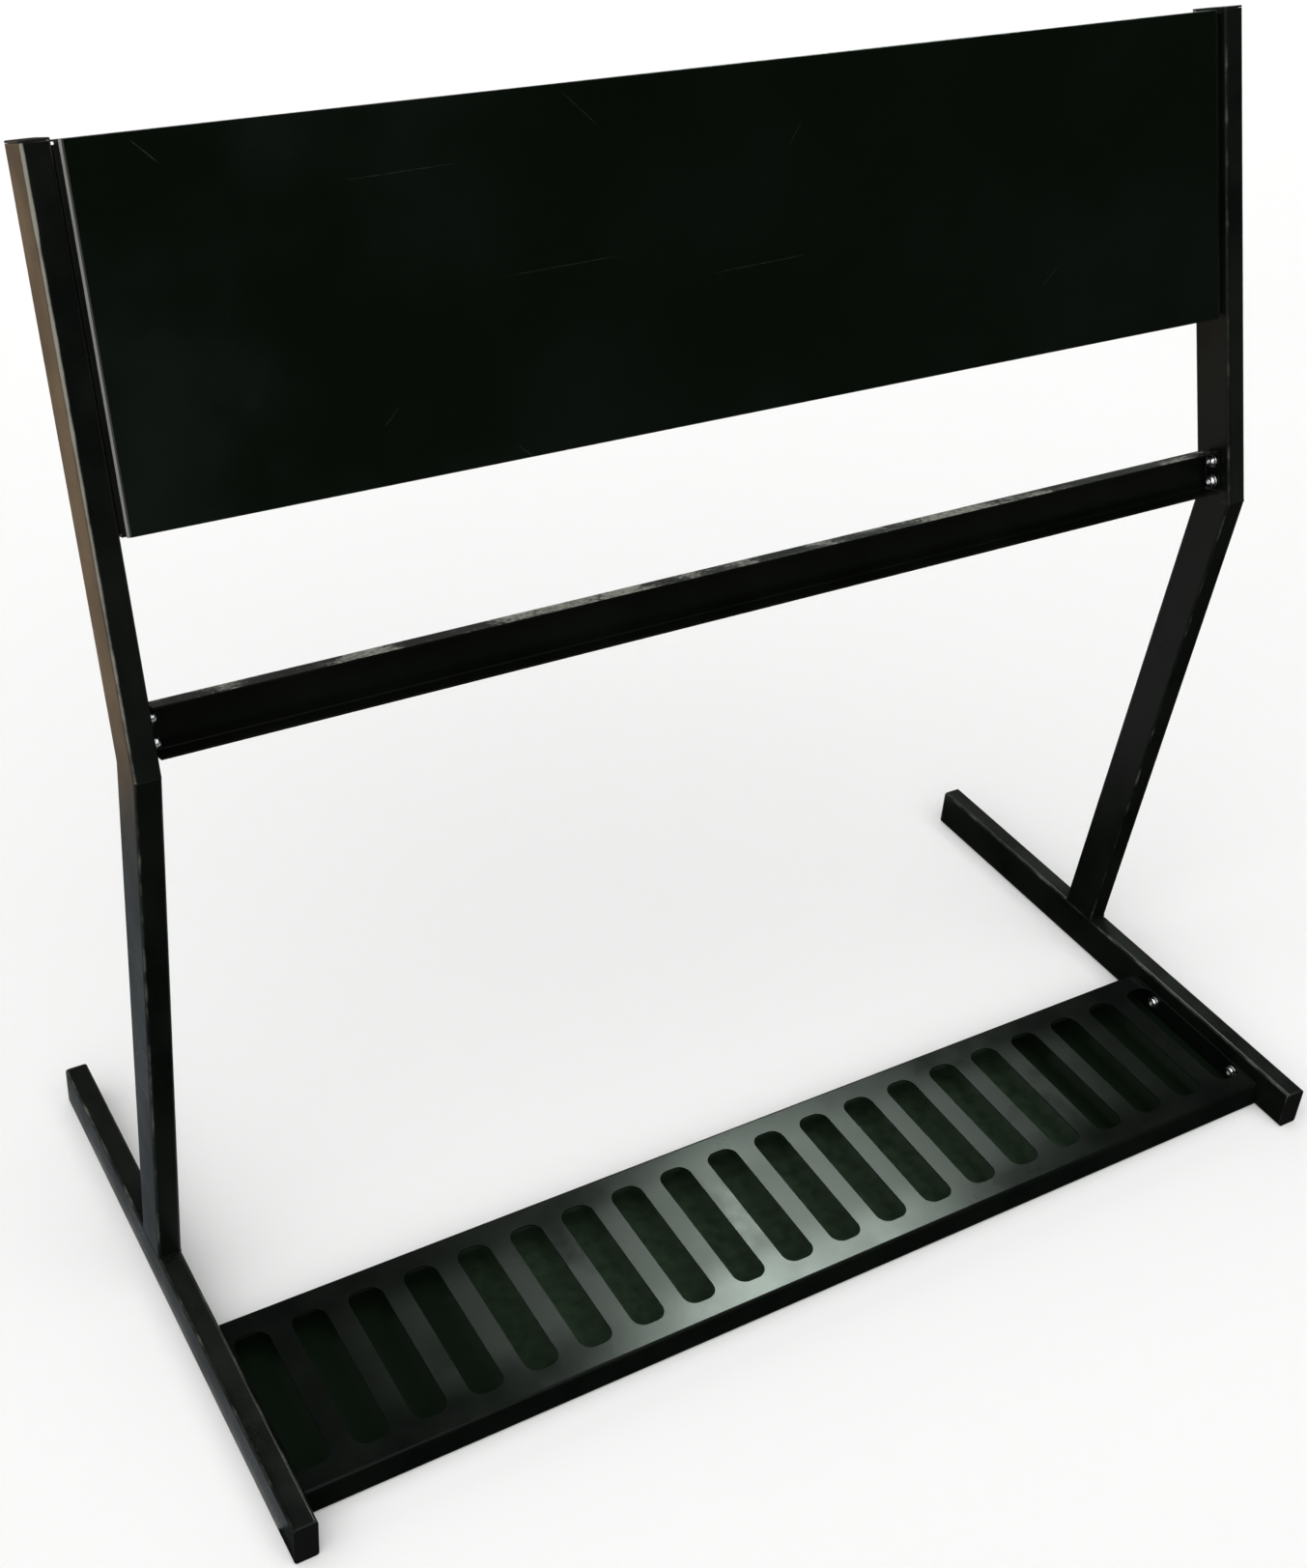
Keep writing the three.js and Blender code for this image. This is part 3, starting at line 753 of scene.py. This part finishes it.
def folded_pan(name, matrix, material, length, width, thickness, side_fold, end_fold, relief, joints,
               holes=()):
    """Sheet with its outer face at z = 0, its length along x and all four sides folded down, the end
    folds shorter by the relief at each corner. holes are in its face, and the joints' bolts go through
    both end folds."""
    outer = bend_radius + thickness
    arc = outer * math.pi / 2
    flat_u, flat_v = length / 2 - outer, width / 2 - outer

    def fold(distance, flat, depth):
        """Place along the sheet and height of a point, for its distance from the middle."""
        over = abs(distance) - flat
        if over <= 0:
            return distance, -depth
        if over <= arc:
            turn = over / outer
            reach, drop = (outer - depth) * math.sin(turn), outer - (outer - depth) * math.cos(turn)
        else:
            reach, drop = outer - depth, outer + over - arc
        return math.copysign(flat + reach, distance), -drop

    def place(u, v, depth):
        if abs(u) > flat_u:
            x, z = fold(u, flat_u, depth)
            return Vector((x, v, z))
        y, z = fold(v, flat_v, depth)
        return Vector((u, y, z))

    end_v = (width - 2 * (bend_radius + thickness + relief)) / 2
    bolts = sorted(bolt_place(f"left_{joint}_bolt", matrix) for joint in joints)
    marks = [-end_v, *(y for y, z in bolts), end_v]
    faces = holed_plate((-flat_u, flat_u), (-flat_v, flat_v), holes, marks)
    steps = [arc * i / bend_steps for i in range(bend_steps + 1)]
    cuts = [-flat_u, *(hole[0] for hole in holes), flat_u]
    rows = [flat_v + step for step in steps] + [flat_v + arc + side_fold - outer]
    for a, b in zip(cuts, cuts[1:]):
        for c, d in zip(rows, rows[1:]):
            faces += [[(a, c), (b, c), (b, d), (a, d)], [(a, -d), (b, -d), (b, -c), (a, -c)]]
    columns = [flat_u + step for step in steps]
    for a, b in zip(marks, marks[1:]):
        for c, d in zip(columns, columns[1:]):
            faces += [[(c, a), (d, a), (d, b), (c, b)], [(-d, a), (-c, a), (-c, b), (-d, b)]]
    end_start, end_stop = flat_u + arc, flat_u + arc + end_fold - outer
    rounds = [(y, end_start - z - outer, bolt_hole_radius, bolt_hole_radius, bolt_hole_radius)
              for y, z in bolts]
    for face in holed_plate((-end_v, end_v), (end_start, end_stop), rounds):
        faces += [[(t, s) for s, t in reversed(face)], [(-t, s) for s, t in face]]

    bm = bmesh.new()
    verts = {}

    def vert(point, depth):
        key = (round(point[0], same_point_digits), round(point[1], same_point_digits), depth)
        if key not in verts:
            verts[key] = bm.verts.new(place(point[0], point[1], depth))
        return verts[key]

    directed = []
    for face in faces:
        bm.faces.new([vert(p, 0) for p in face])
        bm.faces.new([vert(p, thickness) for p in reversed(face)])
        for p, q in zip(face, face[1:] + face[:1]):
            directed.append((vert(p, 0), vert(q, 0), vert(p, thickness), vert(q, thickness)))
    known = {(p, q) for p, q, below_p, below_q in directed}
    for p, q, below_p, below_q in directed:
        if (q, p) not in known:
            bm.faces.new((q, p, below_p, below_q))
    bm.transform(matrix)
    piece = mesh_object(name, bm, material)
    broken = piece.modifiers.new("broken_edges", "BEVEL")
    broken.width, broken.segments, broken.limit_method = cut_edge, 2, "ANGLE"
    broken.angle_limit = cut_edge_angle
    even_normals(piece)
    return piece


tray_paint = paint_material("tray_powder_coat", tray_black_deep, tray_black, gloss=(0.17, 0.23),
                            peel_size=1.8, dust=0.1, rub=0.4, specular=0.2)

tray_length, tray_width = tray_high.x - tray_low.x, tray_high.y - tray_low.y
slot_count = int((tray_length - 2 * (bend_radius + tray_sheet) - slot_width) / slot_pitch) + 1
slots = [((i - (slot_count - 1) / 2) * slot_pitch, 0, slot_width / 2, slot_length / 2, slot_corner)
         for i in range(slot_count)]
tray_middle = Vector((0, (tray_low.y + tray_high.y) / 2, tray_high.z))

# Scuffed ribs: what is set down in the slots rubs the paint between them, which is duller and a little greyer
# there, less so at the two ends, which are used less. The greyer tone is partly rubbed paint and partly a
# painted highlight on the ribs.
tree = tray_paint.node_tree
place = parts_of(tree, object_place(tree))
from_middle = math_node(tree, "ABSOLUTE", math_node(tree, "SUBTRACT", place["Y"], tray_middle.y))
outward = math_node(tree, "ABSOLUTE", place["X"])
patches = use_group(tree, coat_group, cloud_size=70.0)["Clouds"]
scuffed_and_highlit = product(tree, ramp(tree, from_middle, scuff_reach, scuff_core),
                  ramp(tree, patches, zero_at=0.2, one_at=0.5),
                  ramp(tree, outward, scuff_fade_end, scuff_fade_start))
wear_over(tray_paint, scuffed_and_highlit, scuff_and_highlight_grey, scuff_roughness)

tray = folded_pan("tray_sheet", Matrix.Translation(tray_middle), tray_paint, tray_length, tray_width,
                  tray_sheet, tray_lip, tray_end_fold, bend_relief, foot_joints, slots)
finish_piece(tray, "base_tray")


# Cross bar: a channel folded from 1.5 mm steel that opens to the front, so that what leans on it meets the
# edges of its two flanges. A tab at each end is bolted to the post.
bar_sheet = 1.5 * mm
bar_setback = 8 * mm
bar_depth = 20 * mm
bar_height = 38 * mm
bar_rise = 29 * mm
bar_tab_depth = 18 * mm
bar_tab_nick = 0.5 * mm
bar_middle_height = (post_frame @ Vector((0, 0, bar_rise))).z
bar_black = (0.0034, 0.0044, 0.0032, 1)
bar_black_deep = (0.0018, 0.0026, 0.0016, 1)
mark_grey = (0.29, 0.29, 0.25, 1)
mark_roughness = 0.7
bar_paint = paint_material("bar_powder_coat", bar_black_deep, bar_black, gloss=(0.28, 0.40),
                           peel_size=1.6, dust=0.12, rub=0.5, specular=0.15)

# Rest marks: pale specks in patches on the upper flange, where things are laid against it and taken away.
mark_group, given, result = new_group("rest_marks", {"Amount": 0.7, "Speck Size": 4.0, "Patch Size": 90.0,
                                                     "Lowest": 0.5}, ("Mask",))
tree = mark_group
place = object_place(tree)
upward = ramp(tree, facing_up(tree), zero_at=0.80, one_at=0.93)
upper = math_node(tree, "GREATER_THAN", parts_of(tree, place)["Z"], given["Lowest"])
flecks = noise(tree, place, given["Speck Size"], detail=4.0, roughness=0.75)
patches = noise(tree, place, given["Patch Size"], detail=2.0, roughness=0.6)
patches = ramp(tree, patches, zero_at=0.40, one_at=0.60)
flecks = math_node(tree, "MULTIPLY_ADD", patches, 0.22, flecks)
marked = product(tree, ramp(tree, flecks, zero_at=0.57, one_at=0.76), upward, upper,
                 given["Amount"])
tree.links.new(marked, result["Mask"])
marks = use_group(bar_paint.node_tree, mark_group, amount=0.8, lowest=bar_middle_height)["Mask"]
wear_over(bar_paint, marks, mark_grey, mark_roughness)

bar_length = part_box("crossbar")[1].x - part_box("crossbar")[0].x
bar_frame = (post_frame @ Matrix.Translation((0, bar_setback + bar_depth, bar_rise))
             @ Matrix.Rotation(-math.pi / 2, 4, "X"))
bar = folded_pan("bar_channel", bar_frame, bar_paint, bar_length, bar_height, bar_sheet, bar_depth,
                 bar_tab_depth, bar_tab_nick, post_joints[:2])
finish_piece(bar, "crossbar")


# Header backing: a folded 1.2 mm sheet with shallow returns along its top and bottom edge and a tab at
# each end that is bolted between the posts.
header_sheet = 1.2 * mm
header_height = 256 * mm
header_top_inset = 2 * mm
header_return = 12 * mm
header_relief = 0.3 * mm
header_tab = 30 * mm
board_front = 3 * mm
board_thickness = 3 * mm
tape_thickness = 0.3 * mm
header_paint = paint_material("header_powder_coat", bar_black_deep, bar_black, gloss=(0.32, 0.42),
                              peel_size=1.6, dust=0.5, rub=0.4, specular=0.35)
header_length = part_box("header_back")[1].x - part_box("header_back")[0].x
header_middle = post_length - header_top_inset - header_height / 2
header_frame = (post_frame
                @ Matrix.Translation((0, board_front + board_thickness + tape_thickness, header_middle))
                @ Matrix.Rotation(math.pi / 2, 4, "X"))
backing = folded_pan("header_sheet", header_frame, header_paint, header_length, header_height,
                     header_sheet, header_return, header_tab, header_relief, post_joints[2:])
finish_piece(backing, "header_back")


# Header board: a thin bare black board taped to the backing sheet. Its face is glossy, with a painted
# reflection in cloudy blotches that grow lighter towards its left end. The bevel down its left and right edge
# shows the paler core, which also stands in for a painted highlight along the left bevel.
board_inset = 5.5 * mm
board_bevel = 2.5 * mm
board_bare_start, board_bare_full = 0.68 * board_bevel, 0.52 * board_bevel
board_edge = 0.15 * mm
board_half = inner_face - board_inset
board_black = (0.0036, 0.0062, 0.0042, 1)
board_black_low = (0.0014, 0.0030, 0.0014, 1)
scratch_grey = (0.030, 0.036, 0.028, 1)
# The pale core tones are partly the board's core and partly a painted highlight on the bevel.
pale_core_and_highlight = (0.32, 0.315, 0.295, 1)
pale_core_and_highlight_low = (0.18, 0.178, 0.165, 1)
# Painted reflection: the board face is lighter in blotches towards its left end, between these two places.
reflection_blotch_left, reflection_blotch_right = -0.50, -0.05
reflection_blotch_least = 0.1

# A scratch: one short thin straight line at a place on a board that faces -y.
scratch_group, given, result = new_group("scratch", {
    "Across": 0.0, "Height": 1.0, "Angle": 0.5, "Length": 20.0, "Width": 0.5, "Amount": 0.5}, ("Mask",))
tree = scratch_group


def half_share(tree, distance, size):
    """A distance in metres as a share of half a size in millimetres."""
    return math_node(tree, "DIVIDE", math_node(tree, "ABSOLUTE", distance), product(tree, size, 0.5 * mm))


place = parts_of(tree, object_place(tree))
offset_x = math_node(tree, "SUBTRACT", place["X"], given["Across"])
offset_z = math_node(tree, "SUBTRACT", place["Z"], given["Height"])
cosine = math_node(tree, "COSINE", given["Angle"])
sine = math_node(tree, "SINE", given["Angle"])
along = math_node(tree, "ADD", product(tree, offset_x, cosine), product(tree, offset_z, sine))
beside = math_node(tree, "SUBTRACT", product(tree, offset_z, cosine), product(tree, offset_x, sine))
grain = node(tree, "ShaderNodeTexNoise", {"Scale": 260.0, "Detail": 2.0}).outputs["Fac"]
reach = half_share(tree, along, given["Length"])
breadth = half_share(tree, beside, given["Width"])
scratched = product(tree, ramp(tree, reach, zero_at=1.0, one_at=0.5),
                    ramp(tree, breadth, zero_at=1.0, one_at=0.4),
                    ramp(tree, grain, zero_at=0.35, one_at=0.6), given["Amount"])
tree.links.new(scratched, result["Mask"])

# Scratches on the board: across and height of the middle in metres, angle, length and width in mm, amount.
scratches = ((-0.437, 0.944, -0.75, 26, 0.9, 1.0), (-0.263, 0.913, 0.02, 95, 0.8, 0.45),
             (-0.145, 0.838, 0.02, 110, 0.8, 0.4), (-0.121, 0.939, -0.75, 40, 0.9, 0.5),
             (0.020, 0.818, 0.03, 96, 0.8, 0.5), (-0.292, 0.758, 0.75, 18, 0.9, 0.5),
             (0.060, 0.905, 0.9, 22, 0.8, 0.35), (0.300, 0.772, 0.6, 26, 0.8, 0.4),
             (-0.190, 0.716, -0.7, 24, 0.9, 0.5))

board_gloss, tree = new_material("board_gloss_black")
film = use_group(tree, coat_group, peel_size=6.0, cloud_size=150.0, nibs=0.0)
marks = 0.0
for across, height, angle, length, width, amount in scratches:
    mark = use_group(tree, scratch_group, across=across, height=height, angle=angle, length=length,
                     width=width, amount=amount)["Mask"]
    marks = math_node(tree, "MAXIMUM", marks, mark)
# Painted reflection: cloudy blotches that lighten the board face towards its left end.
painted_reflection_leftward = ramp(tree, parts_of(tree, object_place(tree))["X"], reflection_blotch_right, reflection_blotch_left)
painted_reflection_blotches = product(tree, ramp(tree, film["Clouds"], zero_at=0.35, one_at=0.65),
                   math_node(tree, "MULTIPLY_ADD", painted_reflection_leftward, 1 - reflection_blotch_least, reflection_blotch_least))
colour = mix_colour(tree, painted_reflection_blotches, board_black_low, board_black)
sheen = ramp(tree, film["Clouds"], zero_at=0.3, one_at=0.7)
surface(tree, {"Base Color": mix_colour(tree, marks, colour, scratch_grey),
               "Roughness": mix_value(tree, sheen, 0.18, 0.28), "IOR": paint_index,
               "Specular IOR Level": 0.4}, film["Height"], strength=0.2, depth=0.03 * mm)

board_core_and_highlight, tree = new_material("board_core_painted_highlight")
sawn = use_group(tree, coat_group, peel_size=0.8, cloud_size=35.0, nibs=0.0)
outward = math_node(tree, "ABSOLUTE", parts_of(tree, object_place(tree))["X"])
# Painted highlight: the pale core on the bevels stands in for the highlight along the left bevel.
bare = ramp(tree, outward, board_half - board_bare_start, board_half - board_bare_full)
core = mix_colour(tree, sawn["Clouds"], pale_core_and_highlight_low, pale_core_and_highlight)
surface(tree, {"Base Color": mix_colour(tree, bare, board_black, core),
               "Roughness": mix_value(tree, sawn["Clouds"], 0.55, 0.7)},
        sawn["Height"], strength=0.4, depth=0.05 * mm)

outline = [(-board_half + board_bevel, 0), (board_half - board_bevel, 0), (board_half, board_bevel),
           (board_half, board_thickness), (-board_half, board_thickness), (-board_half, board_bevel)]
bevel_sides = (1, 5)
bm = bmesh.new()
ends = [[bm.verts.new((x, y, z)) for x, y in outline] for z in (-header_height / 2, header_height / 2)]
for i in range(len(outline)):
    j = (i + 1) % len(outline)
    side_face = bm.faces.new((ends[0][i], ends[0][j], ends[1][j], ends[1][i]))
    side_face.material_index = 1 if i in bevel_sides else 0
bm.faces.new(reversed(ends[0]))
bm.faces.new(ends[1])
bm.transform(post_frame @ Matrix.Translation((0, board_front, header_middle)))
board = mesh_object("header_face_board", bm, board_gloss, board_core_and_highlight)
soft_edge = board.modifiers.new("broken_edges", "BEVEL")
soft_edge.width, soft_edge.segments, soft_edge.limit_method = board_edge, 2, "ANGLE"
even_normals(board)
finish_piece(board, "header_board")


# Fasteners: M6 button-head bolts with a hex socket, plain washers and rivet nuts, all zinc plated. Each
# bolt goes through its washer and sheet into a rivet nut that is pulled up in the tube wall.
bolt_radius = 3 * mm
bolt_length = 14 * mm
bolt_tip = 0.6 * mm
thread_pitch = 1.0 * mm
thread_depth = 0.45 * mm
head_radius = 5.25 * mm
head_height = 3.3 * mm
head_edge = 0.8 * mm
head_flat = 2.9 * mm
head_break = 0.1 * mm
socket_across = 4 * mm
socket_depth = 2 * mm
socket_mouth = 0.25 * mm
socket_mouth_share = 1.12
socket_tip = 0.6 * mm
washer_radius = 6 * mm
washer_thickness = 1.2 * mm
washer_break = 0.2 * mm
nut_radius = 4.5 * mm
nut_length = 13 * mm
nut_break = 0.3 * mm
nut_bulge = 5.8 * mm
nut_bulge_length = 4 * mm
pin_gap = 0.3 * mm
turned_steps = 48
dome_steps = 8


def zinc_material(name, dull, bright, gloss):
    """Zinc plate: fine turning marks, cloudy tone and gloss."""
    material, tree = new_material(name)
    plate = use_group(tree, coat_group, peel_size=0.35, cloud_size=3.0, nibs=0.0)
    clouds = ramp(tree, plate["Clouds"], zero_at=0.3, one_at=0.7)
    surface(tree, {"Base Color": mix_colour(tree, clouds, dull, bright), "Metallic": 1.0,
                   "Roughness": mix_value(tree, clouds, gloss[0], gloss[1])},
            plate["Height"], strength=0.25, depth=0.02 * mm)
    return material


bolt_zinc = zinc_material("bolt_bright_zinc", dull=(0.56, 0.57, 0.57, 1), bright=(0.74, 0.75, 0.76, 1),
                          gloss=(0.18, 0.32))
nut_zinc = zinc_material("nut_dull_zinc", dull=(0.46, 0.46, 0.45, 1), bright=(0.62, 0.62, 0.60, 1),
                         gloss=(0.30, 0.45))


def turned_rings(bm, profile):
    """Rings of a turned piece round the y axis, one for each (radius, y)."""
    return [[bm.verts.new((radius * math.cos(a), y, -radius * math.sin(a)))
             for a in (2 * math.pi * k / turned_steps for k in range(turned_steps))]
            for radius, y in profile]


def socket_ring(bm, share, y):
    """Hexagonal ring of the bolt's socket, widened by share, with as many points as its head's rings."""
    ring = []
    for k in range(turned_steps):
        turn = 2 * math.pi * k / turned_steps
        within = (turn % (math.pi / 3)) - math.pi / 6
        reach = socket_across / math.sqrt(3) * share * math.cos(math.pi / 6) / math.cos(within)
        ring.append(bm.verts.new((reach * math.cos(turn), y, -reach * math.sin(turn))))
    return ring


def bolt_mesh():
    """Bolt with its seat at y = 0, its domed head above and its thread's ridges below."""
    profile = [(bolt_radius - bolt_tip, -bolt_length)]
    y = -bolt_length + bolt_tip
    while y < -thread_pitch:
        profile += [(bolt_radius, y), (bolt_radius - thread_depth, y + thread_pitch / 2)]
        y += thread_pitch
    profile += [(bolt_radius, -thread_pitch / 2), (bolt_radius, 0), (head_radius - head_break, 0),
                (head_radius, head_break)]
    for i in range(dome_steps + 1):
        turn = i / dome_steps * math.pi / 2
        profile.append((head_flat + (head_radius - head_flat) * math.cos(turn),
                        head_edge + (head_height - head_edge) * math.sin(turn)))
    bm = bmesh.new()
    rings = turned_rings(bm, profile)
    bm.faces.new(reversed(rings[0]))
    rings += [socket_ring(bm, socket_mouth_share, head_height),
              socket_ring(bm, 1.0, head_height - socket_mouth),
              socket_ring(bm, 1.0, head_height - socket_depth)]
    for a, b in zip(rings, rings[1:]):
        bridge(bm, a, b)
    tip = bm.verts.new((0, head_height - socket_depth - socket_tip, 0))
    for k in range(turned_steps):
        bm.faces.new((rings[-1][k], rings[-1][(k + 1) % turned_steps], tip))
    return bm


def closed_ring_mesh(profile):
    """Turned ring whose outline closes on itself."""
    bm = bmesh.new()
    rings = turned_rings(bm, profile)
    for a, b in zip(rings, rings[1:] + rings[:1]):
        bridge(bm, a, b)
    return bm


washer_profile = [
    (bolt_hole_radius, washer_break), (bolt_hole_radius + washer_break, 0),
    (washer_radius - washer_break, 0), (washer_radius, washer_break),
    (washer_radius, washer_thickness - washer_break), (washer_radius - washer_break, washer_thickness),
    (bolt_hole_radius + washer_break, washer_thickness), (bolt_hole_radius, washer_thickness - washer_break)]
bulge_start = -tube_wall - seat_gap
bulge_end = bulge_start - nut_bulge_length
nut_bore = bolt_radius + pin_gap
nut_profile = [(nut_bore, -nut_length), (nut_radius - nut_break, -nut_length),
               (nut_radius, -nut_length + nut_break), (nut_radius, bulge_end)]
for i in range(1, dome_steps):
    share = math.sin(math.pi * i / dome_steps)
    nut_profile.append((nut_radius + (nut_bulge - nut_radius) * share,
                        bulge_end + nut_bulge_length * i / dome_steps))
nut_profile += [(nut_radius, bulge_start), (nut_radius, 0), (nut_bore, 0)]

joint_sheets = {"tray": tray_sheet, "bar": bar_sheet, "header": header_sheet}
for side_name, side in sides.items():
    for joint in foot_joints + post_joints:
        holder = Matrix.Identity(4) if joint in foot_joints else post_frame
        y, z = bolt_place(f"{side_name}_{joint}_bolt", holder)
        seat = (holder @ Matrix.Translation((side * inner_face, y, z))
                @ Matrix.Rotation(side * math.pi / 2, 4, "Z"))
        washer_seat = 2 * seat_gap + joint_sheets[joint.split("_")[0]]
        head_seat = washer_seat + washer_thickness + seat_gap
        for label, made, height, material, node_end, slot_name in (
                ("button_bolt", bolt_mesh(), head_seat, bolt_zinc, "bolt", "bolt_zinc"),
                ("plain_washer", closed_ring_mesh(washer_profile), washer_seat, bolt_zinc, "washer",
                 "bolt_zinc"),
                ("nut_body", closed_ring_mesh(nut_profile), 0, nut_zinc, "rivet_nut", "nut_zinc")):
            bmesh.ops.recalc_face_normals(made, faces=made.faces)
            made.transform(seat @ Matrix.Translation((0, height, 0)))
            piece = mesh_object(f"{side_name}_{joint}_{label}", made, material)
            finish_piece(piece, f"{side_name}_{joint}_{node_end}")
